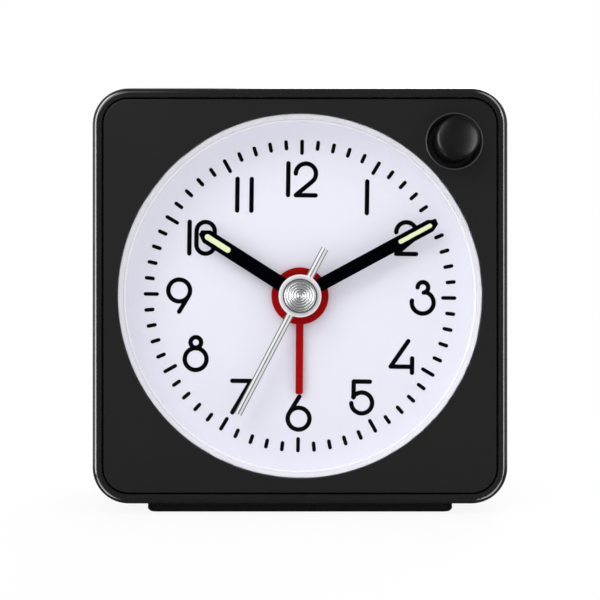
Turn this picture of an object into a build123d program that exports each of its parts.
from build123d import *
import math
import os

# Square travel alarm clock with a quartz movement, in millimetres.
# X runs to the right of the dial, Y from the dial to the back, Z up.
# The origin is the middle of the foot's underside.

# Case, rear cover and foot
CASE_WIDTH = 57.3
CASE_HEIGHT = 57.35
CASE_DEPTH = 32.0
CASE_CORNER_R = 5.0
CASE_WALL = 1.6
CASE_EDGE_R = 0.8
COVER_DEPTH = 6.0
COVER_EDGE_R = 1.2
TONGUE_SPAN = 18.0
TONGUE_REACH = 1.5
TONGUE_THICK = 0.9
FOOT_WIDTH = 42.7
FOOT_HEIGHT = 1.4
FOOT_SETBACK = 2.0
FOOT_CORNER_R = 1.5
FOOT_EDGE = 0.3
FOOT_PEG_R = 1.5
FOOT_PEG_SPACING = 28.0

# Front bezel, lens, dial ring and dial
RIM_WIDTH = 1.35
PANEL_GAP = 0.18
PANEL_DROP = 0.15
PANEL_THICK = 1.7
PANEL_EDGE_R = 0.2
WEB_THICK = 1.6
DIAL_MARGIN = 3.45
LIP_THICK = 0.9
LENS_OVERLAP = 0.45
LENS_THICK = 1.0
RING_WALL = 0.75
RING_DRAFT = 0.1
DIAL_SEAT = 0.4
DIAL_THICK = 0.5

# Hands, with their angles clockwise from twelve
HAND_THICK = 0.4
HAND_GAP = 0.5
FIRST_HAND_GAP = 0.7
LENS_CLEARANCE = 0.75
MINUTE_ANGLE = 61.65
MINUTE_TIP_MARGIN = 3.2
MINUTE_WIDTH = 1.83
MINUTE_LUME_WIDTH = 0.62
MINUTE_LUME_LENGTH = 5.3
HOUR_ANGLE = 302.5
HOUR_LENGTH = 16.7
HOUR_WIDTH = 2.05
HOUR_LUME_WIDTH = 0.8
HOUR_LUME_LENGTH = 4.2
LUME_TIP_GAP = 0.85
HAND_TIP_LENGTH = 1.1
HAND_TIP_WIDTH = 0.65
HAND_HUB_R = 2.4
SECOND_ANGLE = 207.7
SECOND_LENGTH = 18.7
SECOND_TAIL = 7.5
SECOND_WIDTH = 1.05
SECOND_HUB_R = 3.0
SECOND_CAP_R = 2.42
SECOND_CAP_RISE = 0.9
SECOND_CAP_EDGE = 0.3
ALARM_ANGLE = 180.5
ALARM_LENGTH = 13.9
ALARM_WIDTH = 1.05
ALARM_HUB_R = 4.05

# Snooze button, its well and its switch
BUTTON_INSET = 7.39
BUTTON_R = 2.85
BUTTON_PROUD = 4.1
BUTTON_DOME = 0.4
BUTTON_EDGE_R = 1.2
BUTTON_TRAVEL = 0.8
STEM_R = 1.5
BARB_R = 2.0
BARB_LENGTH = 0.6
WELL_R = 3.78
WELL_FLOOR_R = 3.3
WELL_DEPTH = 2.85
WELL_WALL = 0.6
WELL_EDGE = 0.22
WELL_FLOOR_THICK = 0.9
SWITCH_SIZE = 5.6
PLUNGER_R = 1.2
PLUNGER_SEAT = 0.6

# Movement plates, pillars and screws
PLATE_THICK = 1.0
BRIDGE_THICK = 1.0
PLATE_MARGIN = 0.2
PLATE_POST_R = 1.8
PILLAR_R = 1.6
PILLAR_RISE = 10.0
BRIDGE_TOP_MARGIN = 3.1
COIL_PILLAR_R = 1.3
EAR_WIDTH = 10.2
COVER_POST_SIZE = 5.4
COVER_POST_LENGTH = 11.0
COVER_POST_BITE = 0.2
SCREW_R = 0.8
SCREW_HEAD_R = 1.5
SCREW_HEAD_THICK = 0.9
SCREW_BITE = 3.5
COVER_SCREW_SINK = 3.0
COVER_SCREW_BITE = 6.0

# Wheels: axis distances, tooth counts, layers and shafts
TRAIN_DISTANCE = 7.2
ROTOR_DISTANCE = 3.9
THIRD_DIRECTION = -45.0
SETTING_DIRECTION = 30.0
UP = 90.0
PINION_TEETH = 6
CENTRE_TEETH = 48
THIRD_TEETH = 45
SECONDS_TEETH = 45
INTERMEDIATE_TEETH = 24
CANNON_TEETH = 10
MINUTE_TEETH = 30
MINUTE_PINION_TEETH = 8
HOUR_TEETH = 32
ALARM_PINION_TEETH = 12
ALARM_TEETH = 28
GEAR_THICK = 0.8
TRAIN_THICK = 0.5
LAYER_GAP = 0.3
PINION_OVERHANG = 0.1
ARBOR_R = 0.3
SECONDS_ARBOR_R = 0.4
SETTING_SHAFT_R = 0.8
SETTING_PIVOT_R = 0.5
TUBE_WALL = 0.5
WHEEL_CLEARANCE = 0.33
SPOKES = 4
SPOKE_WIDTH = 1.2
WINDOW_DEPTH = 2.0

# Tooth shapes: height above and depth below the pitch circle in modules,
# then half the tooth's width at its tip and at its root in pitches
PINION_TOOTH = (0.9, 1.2, 0.12, 0.22)
WHEEL_TOOTH = (1.0, 1.1, 0.12, 0.32)

# Stepping motor
MAGNET_R = 1.0
MAGNET_THICK = 1.0
STATOR_THICK = 0.8
STATOR_BAR = 4.8
STATOR_SPAN = 21.0
STATOR_LEG = 2.5
STATOR_AIR_GAP = 0.35
COIL_RISE = 8.0
CORE_WIDTH = 2.4
CORE_THICK = 0.8
BOBBIN_R = 1.7
BOBBIN_FLANGE_R = 2.6
BOBBIN_FLANGE_THICK = 0.7
WINDING_R = 2.4
WINDING_LENGTH = 12.6

# Setting knobs and their wells in the rear cover
KNOB_R = 4.8
KNOB_LENGTH = 3.8
KNOB_FLUTES = 18
KNOB_FLUTE_DEPTH = 0.45
KNOB_LAND = 0.3
KNOB_BORE_DEPTH = 2.6
KNOB_EDGE = 0.4
KNOB_WELL_GAP = 0.6
KNOB_WELL_DEPTH = 2.0
KNOB_WELL_WALL = 1.1
KNOB_FLOOR_GAP = 0.3

# Battery, its bay and its door
BATTERY_R = 5.25
BATTERY_LENGTH = 44.5
BATTERY_EDGE = 0.4
NUB_R = 1.9
NUB_LENGTH = 1.0
BAY_CLEARANCE = 0.3
BAY_WALL = 0.8
BAY_FLOOR_GAP = 0.15
POSITIVE_SPACE = 0.5
NEGATIVE_SPACE = 1.5
CONTACT_THICK = 0.25
CONTACT_WIDTH = 6.0
DOOR_THICK = 1.4
DOOR_GAP = 0.15
HINGE_PIN_R = 0.4
HINGE_PIN_LENGTH = 0.7
NOTCH_WIDTH = 9.0
NOTCH_HEIGHT = 2.2
NOTCH_DEPTH = 0.9

# Circuit board, alarm switch, crystal and buzzer on the rear cover
BOARD_THICK = 1.0
BOARD_STANDOFF = 5.2
BOARD_WIDTH = 10.4
BOARD_HEIGHT = 8.4
BOARD_MARGIN = 0.4
STAKE_R = 0.7
STAKE_POST_R = 1.2
SLIDER_TRAVEL = 2.6
SLIDER_WIDTH = 2.8
SLIDER_HEIGHT = 2.0
SLIDER_PROUD = 0.4
SLIDER_COVER = 0.2
SLIDER_FLANGE_HEIGHT = 3.8
SLIDER_FLANGE_THICK = 0.5
SLIDER_FOOT = 1.2
SLIDER_GAP = 0.15
SWITCH_BODY_WIDTH = 8.8
SWITCH_BODY_HEIGHT = 4.2
SWITCH_RECESS_MARGIN = 1.2
SWITCH_RECESS_DEPTH = 0.8
CRYSTAL_R = 0.9
CRYSTAL_LENGTH = 6.0
CHIP_SIZE = 4.0
CHIP_THICK = 0.9
BUZZER_R = 7.0
BUZZER_THICK = 0.3
BUZZER_SHIFT = -13.5
BUZZER_RISE = 18.0
BUZZER_CAVITY = 1.2
BUZZER_LEDGE = 0.7
BUZZER_RIM_WALL = 0.8
BUZZER_RIM_LENGTH = 2.0
CERAMIC_R = 5.0
CERAMIC_THICK = 0.25
SOUND_HOLE_R = 0.75
SOUND_HOLE_PITCH = 2.4
SOUND_HOLES_ROUND = 6

# Clearances: a running fit, a seat that is glued or pressed, and how far a cut runs past a face
RUNNING_GAP = 0.05
SEAT_GAP = 0.02
OVERCUT = 1.0

# Heights and front-to-back places that follow from the sizes above
centre_z = FOOT_HEIGHT + CASE_HEIGHT / 2
centre = (0.0, centre_z)
case_bottom = FOOT_HEIGHT
face_y = -CASE_DEPTH / 2
rear_y = CASE_DEPTH / 2
parting_y = rear_y - COVER_DEPTH
rear_inner_y = rear_y - CASE_WALL
panel_front = face_y + PANEL_DROP
panel_back = panel_front + PANEL_THICK
web_back = panel_back + WEB_THICK
lens_front = panel_front + LIP_THICK
lens_back = lens_front + LENS_THICK

# Hand layers, from the lens back to the dial
second_front = lens_back + LENS_CLEARANCE + SECOND_CAP_RISE
second_back = second_front + HAND_THICK
minute_front = second_back + HAND_GAP
minute_back = minute_front + HAND_THICK
hour_front = minute_back + HAND_GAP
hour_back = hour_front + HAND_THICK
alarm_front = hour_back + HAND_GAP
alarm_back = alarm_front + HAND_THICK
dial_front = alarm_back + FIRST_HAND_GAP
dial_back = dial_front + DIAL_THICK
plate_front = dial_back
plate_back = plate_front + PLATE_THICK


def layer_after(back, thickness):
    """Front and back of a wheel that runs one layer gap behind a face."""
    return back + LAYER_GAP, back + LAYER_GAP + thickness


# Wheel layers, from the movement plate back to the bridge
alarm_layer = layer_after(plate_back, GEAR_THICK)
hour_layer = layer_after(alarm_layer[1], GEAR_THICK)
minute_layer = layer_after(hour_layer[1], GEAR_THICK)
centre_layer = layer_after(minute_layer[1], TRAIN_THICK)
third_layer = layer_after(centre_layer[1], TRAIN_THICK)
seconds_layer = layer_after(third_layer[1], TRAIN_THICK)
intermediate_layer = layer_after(seconds_layer[1], TRAIN_THICK)
magnet_layer = layer_after(intermediate_layer[1] + PINION_OVERHANG, MAGNET_THICK)
bridge_front = magnet_layer[1] + LAYER_GAP + PINION_OVERHANG
bridge_back = bridge_front + BRIDGE_THICK
stator_front = (magnet_layer[0] + magnet_layer[1] - STATOR_THICK) / 2
stator_back = stator_front + STATOR_THICK
core_back = stator_back + CORE_THICK
coil_y = stator_back + CORE_THICK / 2

# Round sizes about the dial's centre
opening_r = min(CASE_WIDTH, CASE_HEIGHT) / 2 - DIAL_MARGIN
lens_r = opening_r + LENS_OVERLAP
ring_base_r = opening_r - RING_DRAFT
ring_outer_r = opening_r + RING_WALL
web_hole_r = ring_outer_r + PLATE_MARGIN / 2
dial_r = ring_base_r + DIAL_SEAT
plate_r = ring_outer_r - PLATE_MARGIN
minute_length = ring_base_r - MINUTE_TIP_MARGIN
minute_tube_r = SECONDS_ARBOR_R + RUNNING_GAP + TUBE_WALL
hour_tube_r = minute_tube_r + RUNNING_GAP + TUBE_WALL
alarm_tube_r = hour_tube_r + RUNNING_GAP + TUBE_WALL

# Gear sizes and axes
centre_module = 2 * TRAIN_DISTANCE / (CENTRE_TEETH + PINION_TEETH)
third_module = 2 * TRAIN_DISTANCE / (THIRD_TEETH + PINION_TEETH)
seconds_module = 2 * TRAIN_DISTANCE / (SECONDS_TEETH + PINION_TEETH)
rotor_module = 2 * ROTOR_DISTANCE / (INTERMEDIATE_TEETH + PINION_TEETH)
train_tip_r = (CENTRE_TEETH / 2 + WHEEL_TOOTH[0]) * centre_module
setting_distance = train_tip_r + WHEEL_CLEARANCE + SETTING_SHAFT_R
minute_module = 2 * setting_distance / (MINUTE_TEETH + CANNON_TEETH)
hour_module = 2 * setting_distance / (HOUR_TEETH + MINUTE_PINION_TEETH)
alarm_module = 2 * setting_distance / (ALARM_TEETH + ALARM_PINION_TEETH)


def from_centre(distance, direction):
    """Point in the dial's plane at a distance and an angle from the dial's centre."""
    angle = math.radians(direction)
    return distance * math.cos(angle), centre_z + distance * math.sin(angle)


alarm_direction = 180.0 - SETTING_DIRECTION
time_axis = from_centre(setting_distance, SETTING_DIRECTION)
alarm_axis = from_centre(setting_distance, alarm_direction)
third_axis = from_centre(TRAIN_DISTANCE, THIRD_DIRECTION)
intermediate_axis = from_centre(TRAIN_DISTANCE, UP)
rotor_axis = from_centre(TRAIN_DISTANCE + ROTOR_DISTANCE, UP)
train_axes = (third_axis, intermediate_axis, rotor_axis)
coil_z = rotor_axis[1] + COIL_RISE

# Movement outline and fastening points
minute_wheel_r = (MINUTE_TEETH / 2 + WHEEL_TOOTH[0]) * minute_module
pillar_x = time_axis[0] + minute_wheel_r + PILLAR_R + LAYER_GAP
pillar_spots = [(sx * pillar_x, centre_z + sz * PILLAR_RISE) for sx in (-1, 1) for sz in (-1, 1)]
bridge_bottom = centre_z - PILLAR_RISE - PILLAR_R
bridge_top = rotor_axis[1] + BRIDGE_TOP_MARGIN
coil_pillar_x = (STATOR_SPAN - STATOR_LEG) / 2
coil_pillar_spots = [(-coil_pillar_x, coil_z), (coil_pillar_x, coil_z)]
plate_post_distance = web_hole_r + PLATE_POST_R + RUNNING_GAP
plate_post_spots = [from_centre(plate_post_distance, turn) for turn in (135.0, 225.0, 315.0)]

# Button, from the panel back to the switch on the movement plate
button_spot = (CASE_WIDTH / 2 - BUTTON_INSET, centre_z + CASE_HEIGHT / 2 - BUTTON_INSET)
well_floor_y = panel_front + WELL_DEPTH
cup_back = well_floor_y + WELL_FLOOR_THICK
skirt_y = well_floor_y - BUTTON_TRAVEL - WHEEL_CLEARANCE
barb_front = cup_back + LAYER_GAP / 2
stem_end = barb_front + BARB_LENGTH
switch_front = stem_end + BUTTON_TRAVEL + LAYER_GAP / 2

# Battery bay, door and cover screws
bay_bottom = case_bottom + CASE_WALL + BAY_FLOOR_GAP
bay_inner_half = BATTERY_R + BAY_CLEARANCE
battery_z = bay_bottom + BAY_WALL + bay_inner_half
bay_top = battery_z + bay_inner_half + BAY_WALL
door_inner_y = rear_y - DOOR_THICK
battery_y = door_inner_y - BAY_CLEARANCE - BATTERY_R
bay_floor_y = battery_y - bay_inner_half
bay_length = BATTERY_LENGTH + POSITIVE_SPACE + NEGATIVE_SPACE
bay_end = bay_length / 2
battery_end = bay_end - POSITIVE_SPACE
battery_base = NEGATIVE_SPACE - bay_end
door_length = bay_length + 2 * (BAY_WALL - DOOR_GAP)
door_bottom = bay_bottom + DOOR_GAP
door_top = bay_top - DOOR_GAP
hinge_y = door_inner_y + DOOR_THICK / 2
hinge_z = door_bottom + DOOR_THICK / 2
cover_post_inset = CASE_WALL + COVER_POST_SIZE / 2 - COVER_POST_BITE
cover_post_x = CASE_WIDTH / 2 - cover_post_inset
cover_post_heights = (
    bay_top + COVER_POST_SIZE / 2 + BAY_WALL,
    centre_z + CASE_HEIGHT / 2 - cover_post_inset,
)
cover_post_spots = [(sx * cover_post_x, z) for sx in (-1, 1) for z in cover_post_heights]

# Circuit board and switch, at the upper right of the rear cover
board_right = cover_post_x - COVER_POST_SIZE / 2 - BOARD_MARGIN
board_left = board_right - BOARD_WIDTH
board_x = (board_left + board_right) / 2
board_bottom = bridge_top + BOARD_MARGIN
board_z = board_bottom + BOARD_HEIGHT / 2
board_back = rear_inner_y - BOARD_STANDOFF
board_front = board_back - BOARD_THICK
switch_x = board_left + BOARD_MARGIN + SWITCH_BODY_WIDTH / 2
switch_spot = (switch_x, board_bottom + BOARD_HEIGHT - SWITCH_BODY_HEIGHT / 2)
crystal_spot = (board_x, board_bottom + CRYSTAL_R + BOARD_MARGIN)
stake_spots = [
    (board_left + STAKE_POST_R, crystal_spot[1]),
    (board_right - STAKE_POST_R, crystal_spot[1]),
]
slider_back_limit = rear_inner_y - SLIDER_GAP
slider_flange_front = slider_back_limit - SLIDER_FLANGE_THICK
switch_body_back = slider_flange_front - SLIDER_GAP
slot_length = SLIDER_WIDTH + SLIDER_TRAVEL + 2 * SLIDER_GAP
slider_flange_width = slot_length + SLIDER_TRAVEL + 2 * SLIDER_COVER
slider_spot = (switch_spot[0] - SLIDER_TRAVEL / 2, switch_spot[1])
buzzer_spot = (BUZZER_SHIFT, centre_z + BUZZER_RISE)
buzzer_back = rear_inner_y - BUZZER_CAVITY
buzzer_front = buzzer_back - BUZZER_THICK

# Knobs, in wells of the rear cover
knob_well_r = KNOB_R + KNOB_WELL_GAP
knob_floor_y = rear_y - KNOB_WELL_DEPTH
knob_front = knob_floor_y + KNOB_FLOOR_GAP
knob_back = knob_front + KNOB_LENGTH


def slab(sketch, front, back):
    """Sketch in the dial's plane, x by z, thickened from front to back."""
    return extrude(Plane.XZ.offset(-back) * sketch, amount=back - front)


def disc(radius, front, back, spot=centre):
    return slab(Pos(*spot) * Circle(radius), front, back)


def block(width, height, front, back, spot=centre):
    return slab(Pos(*spot) * Rectangle(width, height), front, back)


def turned(face, spot=centre):
    """Face drawn as radius by y, turned about the line along Y through a spot."""
    return Pos(spot[0], 0, spot[1]) * revolve(face, Axis.Y)


def outline_face(*points):
    return make_face(Polyline(*points, close=True))


def case_outline(inset):
    """The case's rounded square, moved inward by an inset."""
    width = CASE_WIDTH - 2 * inset
    height = CASE_HEIGHT - 2 * inset
    return Pos(*centre) * RectangleRounded(width, height, CASE_CORNER_R - inset)


def screw(spot, seat, bite):
    """Screw driven towards the dial, with its head behind the seat."""
    head = disc(SCREW_HEAD_R, seat, seat + SCREW_HEAD_THICK, spot)
    slot_floor = seat + SCREW_HEAD_THICK / 2
    slot_end = seat + SCREW_HEAD_THICK + OVERCUT
    head -= block(SCREW_HEAD_R * 2, SCREW_R / 2, slot_floor, slot_end, spot)
    return head + disc(SCREW_R, seat - bite, seat, spot)


def gear(teeth, module, tooth, front, back, spot, phase):
    """Toothed disc whose first tooth points along phase, in degrees from +X towards +Z."""
    above, below, tip, root = tooth
    pitch = 2 * math.pi / teeth
    root_r = (teeth / 2 - below) * module
    tip_r = (teeth / 2 + above) * module
    points = []
    for index in range(teeth):
        middle = math.radians(phase) + index * pitch
        for radius, share in ((root_r, -root), (tip_r, -tip), (tip_r, tip), (root_r, root)):
            angle = middle + share * pitch
            points.append((radius * math.cos(angle), radius * math.sin(angle)))
    return slab(Pos(*spot) * Polygon(*points, align=None), front, back)


def facing_phase(direction, teeth):
    """Phase that puts a gap opposite a tooth which points along direction."""
    return direction + 180.0 + 180.0 / teeth


def crossed_out(wheel, spot, front, back, ring_r):
    """Wheel with windows cut in its web, which leave spokes between hub and rim."""
    inner_r = ring_r - WINDOW_DEPTH / 2
    outer_r = ring_r + WINDOW_DEPTH / 2
    half = math.pi / SPOKES - SPOKE_WIDTH / (inner_r + outer_r)
    rim = [(outer_r, -half), (outer_r, 0), (outer_r, half)]
    hub = [(inner_r, half), (inner_r, 0), (inner_r, -half)]
    window = Polygon(*[(r * math.cos(a), r * math.sin(a)) for r, a in rim + hub], align=None)
    for index in range(SPOKES):
        turned_window = Pos(*spot) * Rot(0, 0, index * 360.0 / SPOKES) * window
        wheel -= slab(turned_window, front - OVERCUT, back + OVERCUT)
    return wheel


def hand_at(angle, solid):
    """Hand drawn pointing up from the origin, set on the dial's centre at its angle."""
    return Pos(0, 0, centre_z) * Rot(0, angle, 0) * solid


def case_shell():
    shell = slab(case_outline(0), face_y, parting_y)
    shell = fillet(shell.faces().sort_by(Axis.Y)[0].edges(), CASE_EDGE_R)
    shell -= slab(case_outline(RIM_WIDTH), face_y - OVERCUT, panel_back)
    shell -= slab(case_outline(CASE_WALL), web_back, parting_y + OVERCUT)
    shell -= disc(web_hole_r, panel_back - OVERCUT, web_back + OVERCUT)
    cup_r = WELL_R + WELL_WALL + RUNNING_GAP
    shell -= disc(cup_r, panel_back - OVERCUT, web_back + OVERCUT, button_spot)
    post = RectangleRounded(COVER_POST_SIZE, COVER_POST_SIZE, CASE_WALL / 2)
    for spot in cover_post_spots:
        shell += slab(Pos(*spot) * post, parting_y - COVER_POST_LENGTH, parting_y)
        hole_end = rear_y - COVER_SCREW_SINK - COVER_DEPTH - COVER_SCREW_BITE
        shell -= disc(SCREW_R + SEAT_GAP, hole_end, parting_y + OVERCUT, spot)
    for spot in plate_post_spots:
        shell += disc(PLATE_POST_R, web_back, plate_front, spot)
        shell -= disc(SCREW_R + SEAT_GAP, plate_front - SCREW_BITE, plate_front + OVERCUT, spot)
    for x in (-FOOT_PEG_SPACING / 2, FOOT_PEG_SPACING / 2):
        shell -= foot_peg(x, FOOT_PEG_R + SEAT_GAP, CASE_WALL + OVERCUT)
    return shell


def foot_peg(x, radius, height):
    middle_y = (face_y + parting_y) / 2
    return Pos(x, middle_y, case_bottom + height / 2) * Cylinder(radius, height)


def base_foot():
    depth = CASE_DEPTH - 2 * FOOT_SETBACK
    foot = extrude(RectangleRounded(FOOT_WIDTH, depth, FOOT_CORNER_R), amount=FOOT_HEIGHT)
    foot = chamfer(foot.faces().sort_by(Axis.Z)[0].edges(), FOOT_EDGE)
    for x in (-FOOT_PEG_SPACING / 2, FOOT_PEG_SPACING / 2):
        foot += foot_peg(x, FOOT_PEG_R, CASE_WALL)
    return foot


def front_bezel():
    panel = slab(case_outline(RIM_WIDTH + PANEL_GAP), panel_front, panel_back)
    panel = fillet(panel.faces().sort_by(Axis.Y)[0].edges(), PANEL_EDGE_R)
    panel -= disc(opening_r, panel_front - OVERCUT, panel_back)
    panel -= disc(lens_r + SEAT_GAP, lens_front, panel_back + OVERCUT)
    cup = outline_face(
        (0, panel_front),
        (WELL_R + WELL_WALL, panel_front),
        (WELL_FLOOR_R + WELL_WALL, cup_back),
        (0, cup_back),
    )
    well = outline_face(
        (0, panel_front - OVERCUT),
        (WELL_R + WELL_EDGE, panel_front - OVERCUT),
        (WELL_R + WELL_EDGE, panel_front),
        (WELL_R, panel_front + WELL_EDGE),
        (WELL_FLOOR_R, well_floor_y),
        (0, well_floor_y),
    )
    panel += turned(cup, button_spot)
    panel -= turned(well, button_spot)
    panel -= disc(STEM_R + RUNNING_GAP, well_floor_y - OVERCUT, cup_back + OVERCUT, button_spot)
    return panel


def lens():
    return disc(lens_r, lens_front, lens_back)


def dial_ring():
    profile = outline_face(
        (opening_r, lens_back),
        (ring_outer_r, lens_back),
        (ring_outer_r, dial_back),
        (dial_r + SEAT_GAP, dial_back),
        (dial_r + SEAT_GAP, dial_front),
        (ring_base_r, dial_front),
    )
    return turned(profile)


def dial():
    hole_r = alarm_tube_r + LAYER_GAP
    return disc(dial_r, dial_front, dial_back) - disc(hole_r, dial_front - OVERCUT, dial_back + OVERCUT)


def tongue(length, thick_inside, front, back):
    """Straight rib whose outer face lies on the case wall's inner face, along X at the origin."""
    return slab(Pos(0, -thick_inside / 2) * Rectangle(length, thick_inside), front, back)


def cover_tongues():
    """Three ribs that locate the cover inside the case shell, with the roots that carry them."""
    rib = tongue(TONGUE_SPAN, TONGUE_THICK, parting_y - TONGUE_REACH, parting_y)
    rib = Pos(0, 0, -RUNNING_GAP) * rib
    root = tongue(TONGUE_SPAN, TONGUE_THICK + RUNNING_GAP, parting_y, parting_y + TONGUE_REACH)
    side_x = CASE_WIDTH / 2 - CASE_WALL
    side_z = sum(cover_post_heights) / 2
    top_z = centre_z + CASE_HEIGHT / 2 - CASE_WALL
    top = Pos(0, 0, top_z)
    right = Pos(side_x, 0, side_z) * Rot(0, 90, 0)
    left = Pos(-side_x, 0, side_z) * Rot(0, -90, 0)
    return [place * (rib + root) for place in (top, right, left)]


def rear_cover():
    cover = slab(case_outline(0), parting_y, rear_y)
    cover = fillet(cover.faces().sort_by(Axis.Y)[-1].edges(), COVER_EDGE_R)
    cover -= slab(case_outline(CASE_WALL), parting_y - OVERCUT, rear_inner_y)
    for rib in cover_tongues():
        cover += rib
    post = RectangleRounded(COVER_POST_SIZE, COVER_POST_SIZE, CASE_WALL / 2)
    for spot in cover_post_spots:
        cover += slab(Pos(*spot) * post, parting_y, rear_inner_y)
        cover -= disc(SCREW_R + RUNNING_GAP, parting_y - OVERCUT, rear_y, spot)
        cover -= disc(SCREW_HEAD_R + RUNNING_GAP, rear_y - COVER_SCREW_SINK, rear_y + OVERCUT, spot)
    cover = with_battery_bay(cover)
    cover = with_knob_wells(cover)
    cover = with_alarm_switch_slot(cover)
    return with_buzzer_seat(cover)


def with_battery_bay(cover):
    bay_spot = (0, battery_z)
    outer_length = bay_length + 2 * BAY_WALL
    inner_height = 2 * bay_inner_half
    cover += block(outer_length, bay_top - bay_bottom, bay_floor_y - BAY_WALL, rear_inner_y, bay_spot)
    cover -= block(bay_length, inner_height, bay_floor_y, rear_y + OVERCUT, bay_spot)
    cover -= block(outer_length, bay_top - bay_bottom, door_inner_y, rear_y + OVERCUT, bay_spot)
    pin_hole_length = door_length + 2 * (HINGE_PIN_LENGTH + DOOR_GAP)
    cover -= hinge_pin(HINGE_PIN_R + RUNNING_GAP, pin_hole_length)
    notch = block(NOTCH_WIDTH, NOTCH_HEIGHT, rear_y - NOTCH_DEPTH, rear_y + OVERCUT, (0, bay_top))
    return cover - notch


def with_knob_wells(cover):
    for spot in (time_axis, alarm_axis):
        cover += disc(knob_well_r + KNOB_WELL_WALL, knob_floor_y - CASE_WALL, rear_inner_y, spot)
        cover -= disc(knob_well_r, knob_floor_y, rear_y + OVERCUT, spot)
        hole_front = knob_floor_y - CASE_WALL - OVERCUT
        cover -= disc(SETTING_SHAFT_R + RUNNING_GAP, hole_front, rear_y, spot)
    return cover


def with_alarm_switch_slot(cover):
    recess_width = slot_length + 2 * SWITCH_RECESS_MARGIN
    recess_height = SLIDER_HEIGHT + 2 * SWITCH_RECESS_MARGIN
    recess_y = rear_y - SWITCH_RECESS_DEPTH
    cover -= block(recess_width, recess_height, recess_y, rear_y + OVERCUT, switch_spot)
    slot_height = SLIDER_HEIGHT + 2 * SLIDER_GAP
    cover -= block(slot_length, slot_height, rear_inner_y - OVERCUT, rear_y, switch_spot)
    for spot in stake_spots:
        cover += disc(STAKE_POST_R, board_back, rear_inner_y, spot)
        cover += disc(STAKE_R, board_front - BOARD_MARGIN, board_back, spot)
    return cover


def with_buzzer_seat(cover):
    rim_front = buzzer_front - BUZZER_RIM_LENGTH + BUZZER_CAVITY
    cover += disc(BUZZER_R + BUZZER_RIM_WALL, rim_front, rear_inner_y, buzzer_spot)
    cover -= disc(BUZZER_R + SEAT_GAP, rim_front - OVERCUT, buzzer_back, buzzer_spot)
    cover -= disc(BUZZER_R - BUZZER_LEDGE, buzzer_back, rear_inner_y, buzzer_spot)
    holes = [buzzer_spot]
    for location in PolarLocations(SOUND_HOLE_PITCH, SOUND_HOLES_ROUND):
        holes.append((buzzer_spot[0] + location.position.X, buzzer_spot[1] + location.position.Y))
    for spot in holes:
        cover -= disc(SOUND_HOLE_R, rear_inner_y - OVERCUT, rear_y + OVERCUT, spot)
    return cover


def cover_screws():
    seat = rear_y - COVER_SCREW_SINK
    bite = COVER_DEPTH - COVER_SCREW_SINK + COVER_SCREW_BITE
    return [screw(spot, seat, bite) for spot in cover_post_spots]


def snooze_button():
    top = face_y - BUTTON_PROUD
    shoulder = top + BUTTON_DOME
    outline = Polyline((0, top), (0, skirt_y), (BUTTON_R, skirt_y), (BUTTON_R, shoulder))
    crown_r = (BUTTON_R**2 + BUTTON_DOME**2) / (2 * BUTTON_DOME)
    crown = RadiusArc((BUTTON_R, shoulder), (0, top), crown_r)
    cap = turned(make_face(outline + crown), button_spot)
    crown_face = cap.faces().sort_by(Axis.Y)[0]
    cap = fillet(crown_face.edges().sort_by(SortBy.LENGTH)[-1], BUTTON_EDGE_R)
    stem = disc(STEM_R, skirt_y, stem_end, button_spot)
    barb = outline_face((0, barb_front), (BARB_R, barb_front), (STEM_R, stem_end), (0, stem_end))
    return cap + stem + turned(barb, button_spot)


def switch_plunger():
    return disc(PLUNGER_R, stem_end, switch_front + PLUNGER_SEAT, button_spot)


def snooze_switch():
    body = block(SWITCH_SIZE, SWITCH_SIZE, switch_front, plate_front, button_spot)
    bore_back = switch_front + PLUNGER_SEAT + BUTTON_TRAVEL + LAYER_GAP / 2
    return body - disc(PLUNGER_R + RUNNING_GAP, switch_front - OVERCUT, bore_back, button_spot)


def plate_arm(spot, width):
    """Arm of the movement plate that reaches out from the dial's centre to a spot."""
    run = math.hypot(spot[0], spot[1] - centre_z)
    direction = math.degrees(math.atan2(spot[1] - centre_z, spot[0]))
    bar = Pos(*centre) * Rot(0, 0, direction) * Pos(run / 2, 0) * Rectangle(run, width)
    return bar + Pos(*spot) * Circle(width / 2)


def movement_plate():
    outline = Pos(*centre) * Circle(plate_r)
    for spot in plate_post_spots:
        outline += plate_arm(spot, 2 * PLATE_POST_R)
    outline += plate_arm(button_spot, EAR_WIDTH)
    plate = slab(outline, plate_front, plate_back)
    for spot in pillar_spots:
        plate += disc(PILLAR_R, plate_back, bridge_front, spot)
        plate -= disc(SCREW_R + SEAT_GAP, bridge_front - SCREW_BITE, bridge_front + OVERCUT, spot)
    for spot in coil_pillar_spots:
        plate += disc(COIL_PILLAR_R, plate_back, stator_front, spot)
        plate -= disc(SCREW_R + SEAT_GAP, stator_front - SCREW_BITE, stator_front + OVERCUT, spot)
    holes = [(centre, alarm_tube_r), (time_axis, SETTING_PIVOT_R), (alarm_axis, SETTING_PIVOT_R)]
    holes += [(spot, ARBOR_R) for spot in train_axes]
    holes += [(spot, SCREW_R) for spot in plate_post_spots]
    for spot, radius in holes:
        plate -= disc(radius + RUNNING_GAP, plate_front - OVERCUT, plate_back + OVERCUT, spot)
    return plate


def movement_bridge():
    middle = (0, (bridge_bottom + bridge_top) / 2)
    outline = RectangleRounded(2 * (pillar_x + PILLAR_R), bridge_top - bridge_bottom, PILLAR_R)
    bridge = slab(Pos(*middle) * outline, bridge_front, bridge_back)
    holes = [(centre, SECONDS_ARBOR_R), (time_axis, SETTING_SHAFT_R), (alarm_axis, SETTING_SHAFT_R)]
    holes += [(spot, ARBOR_R) for spot in train_axes]
    holes += [(spot, SCREW_R) for spot in pillar_spots]
    for spot, radius in holes:
        bridge -= disc(radius + RUNNING_GAP, bridge_front - OVERCUT, bridge_back + OVERCUT, spot)
    return bridge


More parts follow.
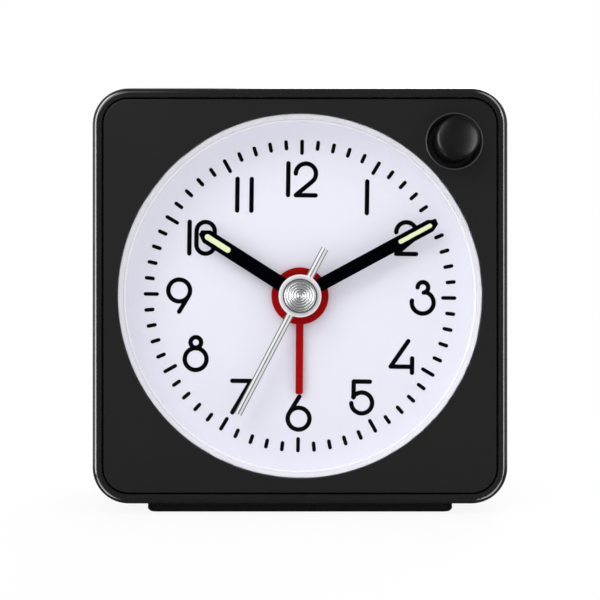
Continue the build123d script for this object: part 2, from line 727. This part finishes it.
def plate_screws():
    return [screw(spot, plate_back, PLATE_THICK + SCREW_BITE - LAYER_GAP) for spot in plate_post_spots]


def movement_screws():
    bridge_bite = BRIDGE_THICK + SCREW_BITE - LAYER_GAP
    coil_bite = STATOR_THICK + CORE_THICK + SCREW_BITE - LAYER_GAP
    screws = [screw(spot, bridge_back, bridge_bite) for spot in pillar_spots]
    return screws + [screw(spot, core_back, coil_bite) for spot in coil_pillar_spots]


def stator():
    outline = Pos(*rotor_axis) * Rectangle(STATOR_SPAN, STATOR_BAR)
    leg_bottom = rotor_axis[1] - STATOR_BAR / 2
    leg_top = coil_z + CORE_WIDTH / 2
    leg = Rectangle(STATOR_LEG, leg_top - leg_bottom)
    for x in (-coil_pillar_x, coil_pillar_x):
        outline += Pos(x, (leg_top + leg_bottom) / 2) * leg
    outline -= Pos(*rotor_axis) * Circle(MAGNET_R + STATOR_AIR_GAP)
    for spot in coil_pillar_spots:
        outline -= Pos(*spot) * Circle(SCREW_R + RUNNING_GAP)
    return slab(outline, stator_front, stator_back)


def coil_core():
    core = block(STATOR_SPAN, CORE_WIDTH, stator_back, core_back, (0, coil_z))
    for spot in coil_pillar_spots:
        core -= disc(SCREW_R + RUNNING_GAP, stator_back - OVERCUT, core_back + OVERCUT, spot)
    return core


def along_x(radius, length, x, y, z):
    return Pos(x, y, z) * Rot(0, 90, 0) * Cylinder(radius, length)


def coil_bobbin():
    barrel = along_x(BOBBIN_R, WINDING_LENGTH, 0, coil_y, coil_z)
    flange_x = (WINDING_LENGTH + BOBBIN_FLANGE_THICK) / 2
    for x in (-flange_x, flange_x):
        barrel += along_x(BOBBIN_FLANGE_R, BOBBIN_FLANGE_THICK, x, coil_y, coil_z)
    hole_height = CORE_WIDTH + 2 * SEAT_GAP
    hole_depth = CORE_THICK / 2 + SEAT_GAP
    return barrel - block(STATOR_SPAN, hole_height, coil_y - hole_depth, coil_y + hole_depth, (0, coil_z))


def coil_winding():
    copper = along_x(WINDING_R, WINDING_LENGTH - SEAT_GAP, 0, coil_y, coil_z)
    return copper - along_x(BOBBIN_R + SEAT_GAP, WINDING_LENGTH + OVERCUT, 0, coil_y, coil_z)


def circuit_board():
    board = block(BOARD_WIDTH, BOARD_HEIGHT, board_front, board_back, (board_x, board_z))
    for spot in stake_spots:
        board -= disc(STAKE_R + SEAT_GAP, board_front - OVERCUT, board_back + OVERCUT, spot)
    return board


def control_chip():
    chip = block(CHIP_SIZE, CHIP_SIZE, board_front - CHIP_THICK, board_front, switch_spot)
    return chamfer(chip.faces().sort_by(Axis.Y)[0].edges(), CHIP_THICK / 3)


def quartz_crystal():
    length = min(CRYSTAL_LENGTH, BOARD_WIDTH - 4 * STAKE_POST_R - BOARD_MARGIN)
    return along_x(CRYSTAL_R, length, crystal_spot[0], board_back + CRYSTAL_R, crystal_spot[1])


def alarm_switch_body():
    body = block(SWITCH_BODY_WIDTH, SWITCH_BODY_HEIGHT, board_back, switch_body_back, switch_spot)
    groove_front = switch_body_back - SLIDER_FOOT - SLIDER_GAP
    groove_height = SLIDER_HEIGHT + 2 * SLIDER_GAP
    return body - block(slot_length, groove_height, groove_front, switch_body_back + OVERCUT, switch_spot)


def alarm_slider():
    top = rear_y + SLIDER_PROUD
    flange_front = slider_flange_front
    slider = block(SLIDER_WIDTH, SLIDER_HEIGHT, flange_front - SLIDER_FOOT, top, slider_spot)
    slider += block(slider_flange_width, SLIDER_FLANGE_HEIGHT, flange_front, slider_back_limit, slider_spot)
    for shift in (-SLIDER_WIDTH / 4, SLIDER_WIDTH / 4):
        groove_spot = (slider_spot[0] + shift, slider_spot[1])
        slider -= block(SLIDER_WIDTH / 8, SLIDER_HEIGHT + OVERCUT, rear_y, top + OVERCUT, groove_spot)
    return slider


def buzzer_disc():
    return disc(BUZZER_R, buzzer_front, buzzer_back, buzzer_spot)


def buzzer_ceramic():
    return disc(CERAMIC_R, buzzer_front - CERAMIC_THICK, buzzer_front, buzzer_spot)


def battery():
    length = BATTERY_LENGTH - NUB_LENGTH
    can = along_x(BATTERY_R, length, battery_base + length / 2, battery_y, battery_z)
    can = chamfer(can.edges().filter_by(GeomType.CIRCLE), BATTERY_EDGE)
    return can + along_x(NUB_R, NUB_LENGTH, battery_end - NUB_LENGTH / 2, battery_y, battery_z)


def battery_contact_positive():
    plate = Pos(bay_end - CONTACT_THICK / 2, battery_y, battery_z)
    plate *= Box(CONTACT_THICK, CONTACT_WIDTH, CONTACT_WIDTH)
    reach = POSITIVE_SPACE - CONTACT_THICK
    return plate + along_x(NUB_R, reach, battery_end + reach / 2, battery_y, battery_z)


def battery_contact_negative():
    """Strip on the bay's end with a bowed leaf that presses on the cell."""
    wall = -bay_end
    half = CONTACT_WIDTH / 2
    leaf = Polygon(
        (wall, -half),
        (wall + CONTACT_THICK, -half),
        (battery_base, -CONTACT_THICK),
        (battery_base, CONTACT_THICK),
        (wall + CONTACT_THICK, half),
        (wall, half),
        align=None,
    )
    hollow = Polygon(
        (wall + CONTACT_THICK, CONTACT_THICK - half),
        (battery_base - CONTACT_THICK, 0),
        (wall + CONTACT_THICK, half - CONTACT_THICK),
        align=None,
    )
    strip = Pos(0, battery_z) * (leaf - hollow)
    return slab(strip, battery_y - half, battery_y + half)


def hinge_pin(radius, length):
    return along_x(radius, length, 0, hinge_y, hinge_z)


def battery_door():
    height = door_top - hinge_z
    door = block(door_length, height, door_inner_y, rear_y, (0, hinge_z + height / 2))
    door += hinge_pin(DOOR_THICK / 2, door_length)
    return door + hinge_pin(HINGE_PIN_R, door_length + 2 * HINGE_PIN_LENGTH)


def cannon_pinion():
    front, back = minute_layer
    tooth_front = front - PINION_OVERHANG
    tube_back = centre_layer[1]
    pinion = gear(CANNON_TEETH, minute_module, PINION_TOOTH, tooth_front, back, centre, SETTING_DIRECTION)
    pinion += disc(minute_tube_r, minute_front, tube_back)
    return pinion - disc(SECONDS_ARBOR_R + RUNNING_GAP, minute_front - OVERCUT, tube_back + OVERCUT)


def minute_wheel():
    front, back = minute_layer
    phase = facing_phase(SETTING_DIRECTION, MINUTE_TEETH)
    wheel = gear(MINUTE_TEETH, minute_module, WHEEL_TOOTH, front, back, time_axis, phase)
    pinion_phase = facing_phase(SETTING_DIRECTION, MINUTE_PINION_TEETH)
    pinion_front = hour_layer[0] - PINION_OVERHANG
    pinion = (MINUTE_PINION_TEETH, hour_module, PINION_TOOTH)
    wheel += gear(*pinion, pinion_front, front, time_axis, pinion_phase)
    wheel += disc(SETTING_SHAFT_R, pinion_front, knob_front + KNOB_BORE_DEPTH, time_axis)
    return wheel + disc(SETTING_PIVOT_R, plate_front, pinion_front, time_axis)


def hour_wheel():
    front, back = hour_layer
    wheel = gear(HOUR_TEETH, hour_module, WHEEL_TOOTH, front, back, centre, SETTING_DIRECTION)
    wheel = crossed_out(wheel, centre, front, back, setting_distance / 2)
    wheel += disc(hour_tube_r, hour_front, back)
    return wheel - disc(minute_tube_r + RUNNING_GAP, hour_front - OVERCUT, back + OVERCUT)


def alarm_wheel():
    front, back = alarm_layer
    wheel = gear(ALARM_TEETH, alarm_module, WHEEL_TOOTH, front, back, centre, alarm_direction)
    wheel += disc(alarm_tube_r, alarm_front, back)
    return wheel - disc(hour_tube_r + RUNNING_GAP, alarm_front - OVERCUT, back + OVERCUT)


def alarm_set_pinion():
    front, back = alarm_layer
    phase = facing_phase(alarm_direction, ALARM_PINION_TEETH)
    tooth_back = back + PINION_OVERHANG
    pinion = gear(ALARM_PINION_TEETH, alarm_module, PINION_TOOTH, front, tooth_back, alarm_axis, phase)
    pinion += disc(SETTING_SHAFT_R, front, knob_front + KNOB_BORE_DEPTH, alarm_axis)
    return pinion + disc(SETTING_PIVOT_R, plate_front, front, alarm_axis)


def centre_wheel():
    front, back = centre_layer
    wheel = gear(CENTRE_TEETH, centre_module, WHEEL_TOOTH, front, back, centre, THIRD_DIRECTION)
    wheel = crossed_out(wheel, centre, front, back, TRAIN_DISTANCE / 2)
    return wheel - disc(minute_tube_r + RUNNING_GAP, front - OVERCUT, back + OVERCUT)


def third_wheel():
    front, back = third_layer
    wheel_phase = THIRD_DIRECTION + 180.0
    wheel = gear(THIRD_TEETH, third_module, WHEEL_TOOTH, front, back, third_axis, wheel_phase)
    wheel = crossed_out(wheel, third_axis, front, back, TRAIN_DISTANCE / 2)
    phase = facing_phase(THIRD_DIRECTION, PINION_TEETH)
    pinion_front = centre_layer[0] - PINION_OVERHANG
    wheel += gear(PINION_TEETH, centre_module, PINION_TOOTH, pinion_front, front, third_axis, phase)
    return wheel + disc(ARBOR_R, plate_front, bridge_back, third_axis)


def seconds_wheel():
    front, back = seconds_layer
    wheel = gear(SECONDS_TEETH, seconds_module, WHEEL_TOOTH, front, back, centre, UP)
    wheel = crossed_out(wheel, centre, front, back, TRAIN_DISTANCE / 2)
    phase = facing_phase(THIRD_DIRECTION + 180.0, PINION_TEETH)
    pinion_front = third_layer[0] - PINION_OVERHANG
    wheel += gear(PINION_TEETH, third_module, PINION_TOOTH, pinion_front, front, centre, phase)
    return wheel + disc(SECONDS_ARBOR_R, second_front - SECOND_CAP_RISE / 2, bridge_back, centre)


def intermediate_wheel():
    front, back = intermediate_layer
    wheel = gear(INTERMEDIATE_TEETH, rotor_module, WHEEL_TOOTH, front, back, intermediate_axis, UP)
    phase = facing_phase(UP, PINION_TEETH)
    pinion_front = seconds_layer[0] - PINION_OVERHANG
    pinion = (PINION_TEETH, seconds_module, PINION_TOOTH)
    wheel += gear(*pinion, pinion_front, front, intermediate_axis, phase)
    return wheel + disc(ARBOR_R, plate_front, bridge_back, intermediate_axis)


def rotor_pinion():
    front = intermediate_layer[0] - PINION_OVERHANG
    back = intermediate_layer[1] + PINION_OVERHANG
    phase = facing_phase(UP, PINION_TEETH)
    pinion = gear(PINION_TEETH, rotor_module, PINION_TOOTH, front, back, rotor_axis, phase)
    return pinion + disc(ARBOR_R, plate_front, bridge_back, rotor_axis)


def rotor_magnet():
    front, back = magnet_layer
    bore = disc(ARBOR_R + SEAT_GAP, front - OVERCUT, back + OVERCUT, rotor_axis)
    return disc(MAGNET_R, front, back, rotor_axis) - bore


def knob(spot):
    """Grip with V-shaped flutes between flat lands, a dished end and a bore for its shaft."""
    flute_r = KNOB_R - KNOB_FLUTE_DEPTH
    points = []
    for index in range(KNOB_FLUTES):
        for radius, share in ((KNOB_R, -KNOB_LAND), (KNOB_R, KNOB_LAND), (flute_r, 0.5)):
            angle = (index + share) * 2 * math.pi / KNOB_FLUTES
            points.append((radius * math.cos(angle), radius * math.sin(angle)))
    body = slab(Pos(*spot) * Polygon(*points, align=None), knob_front, knob_back)
    dish = outline_face(
        (0, knob_back - KNOB_EDGE),
        (flute_r - 2 * KNOB_EDGE, knob_back - KNOB_EDGE),
        (flute_r - KNOB_EDGE, knob_back + KNOB_EDGE),
        (0, knob_back + KNOB_EDGE),
    )
    body -= turned(dish, spot)
    bore_back = knob_front + KNOB_BORE_DEPTH
    return body - disc(SETTING_SHAFT_R + SEAT_GAP, knob_front - OVERCUT, bore_back, spot)


def time_set_knob():
    return knob(time_axis)


def alarm_set_knob():
    return knob(alarm_axis)


def hand_outline(length, width):
    half = width / 2
    tip_half = HAND_TIP_WIDTH / 2
    shoulder = length - HAND_TIP_LENGTH
    right_side = [(half, 0), (half, shoulder), (tip_half, length)]
    left_side = [(-tip_half, length), (-half, shoulder), (-half, 0)]
    return Polygon(*right_side, *left_side, align=None) + Circle(HAND_HUB_R)


def lume_outline(hand_length, length, width):
    middle = hand_length - LUME_TIP_GAP - length / 2
    return Pos(0, middle) * SlotOverall(length, width, rotation=90)


def lumed_hand(length, width, lume_length, lume_width, bore, front, back):
    outline = hand_outline(length, width) - Circle(bore + SEAT_GAP)
    outline -= lume_outline(length, lume_length, lume_width)
    return slab(outline, front, back)


def lume_insert(hand_length, length, width, front, back):
    return slab(lume_outline(hand_length, length - 2 * SEAT_GAP, width - 2 * SEAT_GAP), front, back)


def minute_hand():
    lume = (MINUTE_LUME_LENGTH, MINUTE_LUME_WIDTH)
    blade = lumed_hand(minute_length, MINUTE_WIDTH, *lume, minute_tube_r, minute_front, minute_back)
    return hand_at(MINUTE_ANGLE, blade)


def minute_hand_lume():
    insert = lume_insert(minute_length, MINUTE_LUME_LENGTH, MINUTE_LUME_WIDTH, minute_front, minute_back)
    return hand_at(MINUTE_ANGLE, insert)


def hour_hand():
    lume = (HOUR_LUME_LENGTH, HOUR_LUME_WIDTH)
    blade = lumed_hand(HOUR_LENGTH, HOUR_WIDTH, *lume, hour_tube_r, hour_front, hour_back)
    return hand_at(HOUR_ANGLE, blade)


def hour_hand_lume():
    insert = lume_insert(HOUR_LENGTH, HOUR_LUME_LENGTH, HOUR_LUME_WIDTH, hour_front, hour_back)
    return hand_at(HOUR_ANGLE, insert)


def alarm_hand():
    stem = Pos(0, ALARM_LENGTH / 2) * RectangleRounded(ALARM_WIDTH, ALARM_LENGTH, ALARM_WIDTH / 4)
    outline = stem + Circle(ALARM_HUB_R) - Circle(alarm_tube_r + SEAT_GAP)
    return hand_at(ALARM_ANGLE, slab(outline, alarm_front, alarm_back))


def second_hand():
    """Blade with a roof-shaped section, and the round hub that carries it."""
    half = SECOND_WIDTH / 2
    eaves = (second_front + second_back) / 2
    base = [(-half, second_back), (half, second_back)]
    roof = [(half, eaves), (0, second_front), (-half, eaves)]
    section = Polygon(*base, *roof, align=None)
    blade = extrude(section, amount=SECOND_LENGTH + SECOND_TAIL, dir=(0, 0, 1))
    blade = Pos(0, 0, -SECOND_TAIL) * blade
    hub = disc(SECOND_HUB_R, second_front, second_back, (0, 0))
    hub = chamfer(hub.faces().sort_by(Axis.Y)[0].edges(), HAND_THICK / 2)
    bore = disc(SECONDS_ARBOR_R + SEAT_GAP, second_front - OVERCUT, second_back + OVERCUT, (0, 0))
    return hand_at(SECOND_ANGLE, blade + hub - bore)


def second_hand_cap():
    top = second_front - SECOND_CAP_RISE
    cap = disc(SECOND_CAP_R, top, second_front)
    cap = chamfer(cap.faces().sort_by(Axis.Y)[0].edges(), SECOND_CAP_EDGE)
    return cap - disc(SECONDS_ARBOR_R + SEAT_GAP, top + SECOND_CAP_RISE / 2, second_front)


PIECES = [
    case_shell, base_foot, front_bezel, lens, dial_ring, dial, rear_cover, cover_screws,
    snooze_button, switch_plunger, snooze_switch,
    movement_plate, movement_bridge, plate_screws, movement_screws,
    stator, coil_core, coil_bobbin, coil_winding,
    circuit_board, control_chip, quartz_crystal, alarm_switch_body, alarm_slider,
    buzzer_disc, buzzer_ceramic,
    battery, battery_contact_positive, battery_contact_negative, battery_door,
    cannon_pinion, minute_wheel, hour_wheel, alarm_wheel, alarm_set_pinion,
    centre_wheel, third_wheel, seconds_wheel, intermediate_wheel, rotor_pinion, rotor_magnet,
    time_set_knob, alarm_set_knob,
    minute_hand, minute_hand_lume, hour_hand, hour_hand_lume, alarm_hand, second_hand, second_hand_cap,
]


def main():
    os.makedirs("parts", exist_ok=True)
    for piece in PIECES:
        made = piece()
        solids = made if isinstance(made, list) else [made]
        shape = Compound(children=solids) if len(solids) > 1 else solids[0]
        export_step(shape, os.path.join("parts", piece.__name__ + ".step"))


if __name__ == "__main__":
    main()
